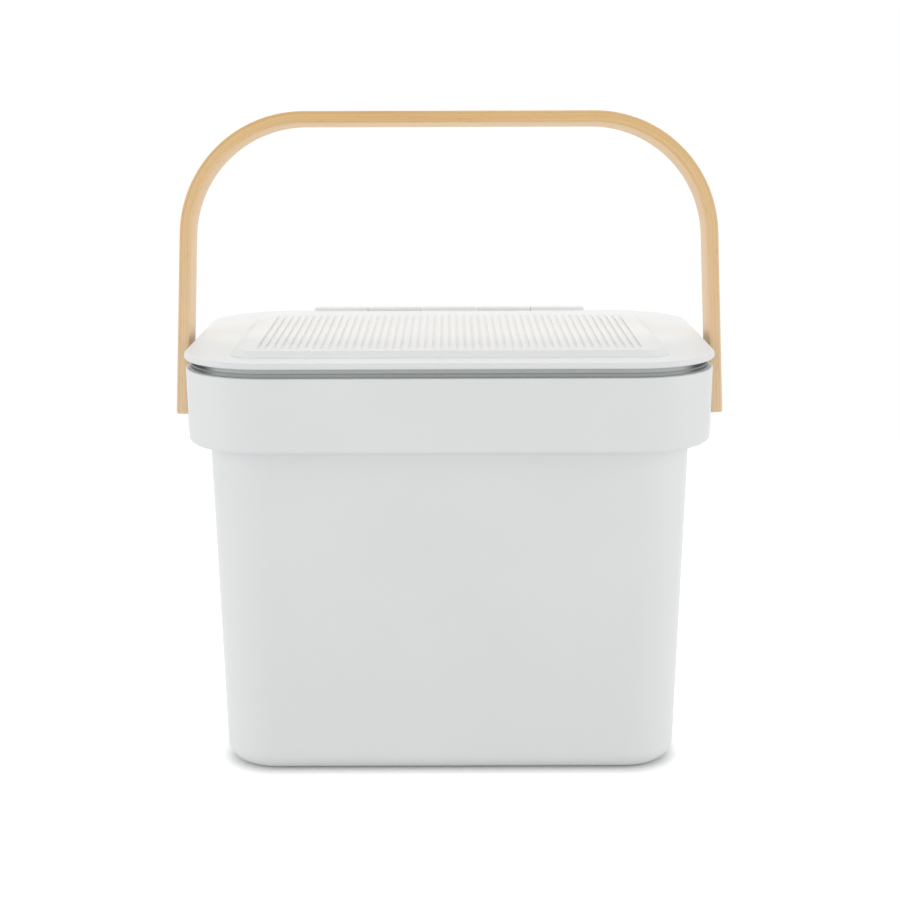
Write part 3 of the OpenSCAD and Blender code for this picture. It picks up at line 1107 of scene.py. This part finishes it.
    def build(self) -> bpy.types.Object:
        """Builds the strap in place of its CAD node and dresses the bushes.

        Returns:
            The strap.
        """
        strap = self.strap()
        plugs = self.cutters()
        for plug in plugs:
            cut = strap.modifiers.new("bore", "BOOLEAN")
            cut.object, cut.operation, cut.solver = plug, "DIFFERENCE", "EXACT"
        baked(strap)
        for plug in plugs:
            bpy.data.objects.remove(plug)
        grain = strap.data.attributes.new("grain", "FLOAT_VECTOR", "POINT")
        for k, vertex in enumerate(strap.data.vertices):
            grain.data[k].vector = self.grain_at(vertex.co.x, vertex.co.z, vertex.co.y)
        lift = Matrix.Translation((0, 0, self.pivot))
        strap.data.transform(lift @ Matrix.Rotation(-self.lean, 4, "X"))
        strap.data.shade_smooth()
        strap.data.set_sharp_from_angle(angle=math.radians(CREASE))
        finish = BentTimber(thickness=self.thickness, length=2 * self.half_length)
        self.dresser.paint(strap, finish)
        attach(strap, "handle")
        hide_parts("handle")
        for side in ("left", "right"):
            self.dresser.node(f"handle_bush_{side}", BRASS)
        log.info("built %s", strap.name)
        return strap


@dataclass
class PivotSet:
    """Shoulder screws with their washers and lock nuts, one set on each side."""

    dresser: Dresser

    def build(self) -> None:
        """Dresses the hardware."""
        for side in ("left", "right"):
            self.dresser.node(f"pivot_screw_{side}", STEEL)
            self.dresser.node(f"nut_washer_{side}", STAMPED_STEEL)
            self.dresser.node(f"lock_nut_{side}", STAMPED_STEEL)


# ---------------------------------------------------------------- studio and camera


@dataclass
class Lamp:
    """One soft box."""

    name: str
    place: tuple[float, float, float]
    aim: tuple[float, float, float]
    size: tuple[float, float]
    power: float

    def build(self) -> None:
        """Hangs the box and turns it to its aim."""
        light = bpy.data.lights.new(self.name, "AREA")
        light.shape = "RECTANGLE"
        light.size, light.size_y = self.size
        light.energy = self.power
        box = bpy.data.objects.new(self.name, light)
        box.location = self.place
        away = Vector(self.place) - Vector(self.aim)
        box.rotation_euler = away.to_track_quat("Z", "Y").to_euler()
        bpy.context.scene.collection.objects.link(box)


@dataclass
class Studio:
    """Pale sweep, even room light and soft boxes."""

    room: float = 0.62
    floor_tone: float = 0.80
    floor_lift: tuple[float, float] = (0.04, 0.55)
    lift_run: tuple[float, float] = (-4 * MM, 11 * MM)
    base_half: tuple[float, float] = (86.5 * MM, 48.8 * MM)
    base_corner: float = 24 * MM
    floor_radius: float = 0.80
    floor_steps: int = 96
    lamps: tuple[Lamp, ...] = (
        Lamp("overhead_box", (0.0, 1.0, 1.25), (0.0, 0.05, 0.15), (1.6, 0.9), 8.6),
        Lamp("left_box", (-1.3, -0.4, 0.5), (0.0, 0.0, 0.15), (0.9, 1.0), 3.5),
        Lamp("right_box", (1.3, -0.4, 0.5), (0.0, 0.0, 0.15), (0.9, 1.0), 3.4),
        Lamp("front_box", (0.0, -1.7, 0.45), (0.0, 0.0, 0.12), (1.4, 0.7), 3.1),
    )

    def seen_directly(self, g: Graph) -> Signal:
        """Light Path test that is 1 for what the camera, gloss or glass sees.

        Args:
            g: The graph to add it to.

        Returns:
            1 or 0.
        """
        rays = [g.add("ShaderNodeLightPath", output=name)
                for name in ("Is Camera Ray", "Is Glossy Ray", "Is Transmission Ray")]
        return rays[0].math("MAXIMUM", rays[0], rays[1].math("MAXIMUM", rays[1], rays[2]))

    def lift(self, g: Graph) -> Signal:
        """How much brighter the floor is seen than it is lit: little by the base, more beyond it.

        Args:
            g: The floor's graph.

        Returns:
            The strength of the lift.
        """
        # the distance from the rectangle that the base stands on, less the radius of its corners
        place = g.add("ShaderNodeVectorMath", {"operation": "ABSOLUTE"}, {0: g.place()})
        for operation, by in (("SUBTRACT", (*self.base_half, 0)), ("MAXIMUM", (0, 0, 0))):
            place = g.add("ShaderNodeVectorMath", {"operation": operation}, {0: place, 1: by})
        length = g.add("ShaderNodeVectorMath", {"operation": "LENGTH"}, {0: place}, "Value")
        away = length - self.base_corner
        low, high = self.floor_lift
        return low + away.ramp(*self.lift_run) * (high - low)

    def build(self) -> None:
        """Lights the room and lays the floor."""
        scene = bpy.context.scene
        scene.view_settings.view_transform = "Standard"
        world = bpy.data.worlds.new("room")
        world.use_nodes = True
        scene.world = world
        g = Graph(world.node_tree)
        seen = self.seen_directly(g)
        strength = self.room + seen * (1 - self.room)
        glow = g.add("ShaderNodeBackground", None, {"Color": (1, 1, 1, 1), "Strength": strength})
        g.add("ShaderNodeOutputWorld", None, {"Surface": glow})
        for lamp in self.lamps:
            lamp.build()
        turns = [math.tau * k / self.floor_steps for k in range(self.floor_steps)]
        rim = [Vector((math.cos(t), math.sin(t), 0)) * self.floor_radius for t in turns]
        floor = mesh_piece("sweep_floor", rim, [tuple(range(self.floor_steps))])
        material, g = new_graph("sweep_paper")
        paper = self.floor_tone
        matt = g.add("ShaderNodeBsdfDiffuse", None, {"Color": (paper, paper, paper, 1)})
        lift = g.add("ShaderNodeEmission", None,
                     {"Color": (1, 1, 1, 1), "Strength": self.seen_directly(g) * self.lift(g)})
        both = g.add("ShaderNodeAddShader", None, {0: matt, 1: lift})
        g.add("ShaderNodeOutputMaterial", None, {"Surface": both})
        floor.data.materials.append(material)
        log.info("studio ready with %d lamps", len(self.lamps))


@dataclass
class Shot:
    """Camera of the reference view: in front of the caddy and a little above it."""

    back: float = 0.86924
    height: float = 0.33811
    tilt_down: float = 0.21684
    roll: float = -0.003
    lens: float = 68.457
    sensor: float = 36.0
    shift_x: float = 0.0004
    clip: tuple[float, float] = (0.05, 60.0)

    def build(self) -> None:
        """Sets the camera up."""
        data = bpy.data.cameras.new("front_view")
        data.lens, data.sensor_width, data.sensor_fit = self.lens, self.sensor, "HORIZONTAL"
        data.shift_x = self.shift_x
        data.clip_start, data.clip_end = self.clip
        camera = bpy.data.objects.new("front_view", data)
        camera.matrix_world = (Matrix.Translation((0, -self.back, self.height))
                               @ Matrix.Rotation(math.pi / 2 - self.tilt_down, 4, "X")
                               @ Matrix.Rotation(self.roll, 4, "Z"))
        bpy.context.scene.collection.objects.link(camera)
        bpy.context.scene.camera = camera


def main() -> None:
    """Builds every sub-assembly in order, then the studio and the camera."""
    logging.basicConfig(level=logging.INFO, format="%(name)s: %(message)s")
    Shot().build()
    Studio().build()
    dresser = Dresser()
    steps: tuple[Callable[[], object], ...] = (
        BinShell(dresser).build, HingeSet(dresser).build, LidAssembly(dresser).build,
        CarryHandle(dresser).build, PivotSet(dresser).build)
    for step in steps:
        step()


if __name__ == "__main__":
    main()
